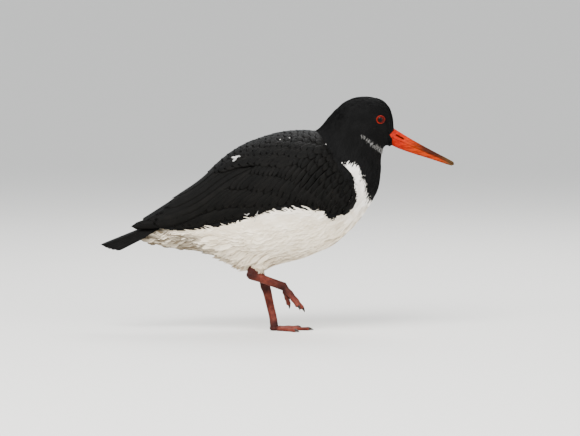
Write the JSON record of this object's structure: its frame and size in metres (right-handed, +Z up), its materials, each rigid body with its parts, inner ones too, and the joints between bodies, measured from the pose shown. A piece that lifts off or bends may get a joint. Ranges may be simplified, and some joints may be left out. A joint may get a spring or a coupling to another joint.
{
  "type": "oystercatcher",
  "caption": "Life-size oystercatcher caught in mid stride, standing on one foot with the other lifted; a still display model of the bird for scenes and cases.",
  "frame": {"origin": "on the floor under the ball of the left foot, the one the bird stands on", "axes": "+X towards the bill, +Y to the bird's left, +Z up"},
  "size_m": [0.3961, 0.1084, 0.2625],
  "materials": {
    "black_plumage": "matt feather, faint brown gloss",
    "white_plumage": "matt soft feather",
    "leg_skin": "satin scaled skin",
    "claw_horn": "worn horn",
    "bill_horn": "satin horn",
    "eye": "wet gloss",
    "eye_ring": "satin bare skin"
  },
  "bodies": {
    "root": {"head": "black_plumage", "neck": "black_plumage", "torso": "white_plumage", "wing_left": "black_plumage", "wing_right": "black_plumage", "tail": "black_plumage", "thigh_left": "white_plumage", "thigh_right": "white_plumage", "shank_left": "leg_skin", "shank_right": "leg_skin", "shin_left": "leg_skin", "shin_right": "leg_skin", "foot_left": "leg_skin", "foot_right": "leg_skin", "claw_left_inner": "claw_horn", "claw_left_middle": "claw_horn", "claw_left_outer": "claw_horn", "claw_right_inner": "claw_horn", "claw_right_middle": "claw_horn", "claw_right_outer": "claw_horn", "bill_upper": "bill_horn", "bill_lower": "bill_horn", "eye_left": "eye", "eye_right": "eye", "eye_ring_left": "eye_ring", "eye_ring_right": "eye_ring"}
  },
  "joints": []
}
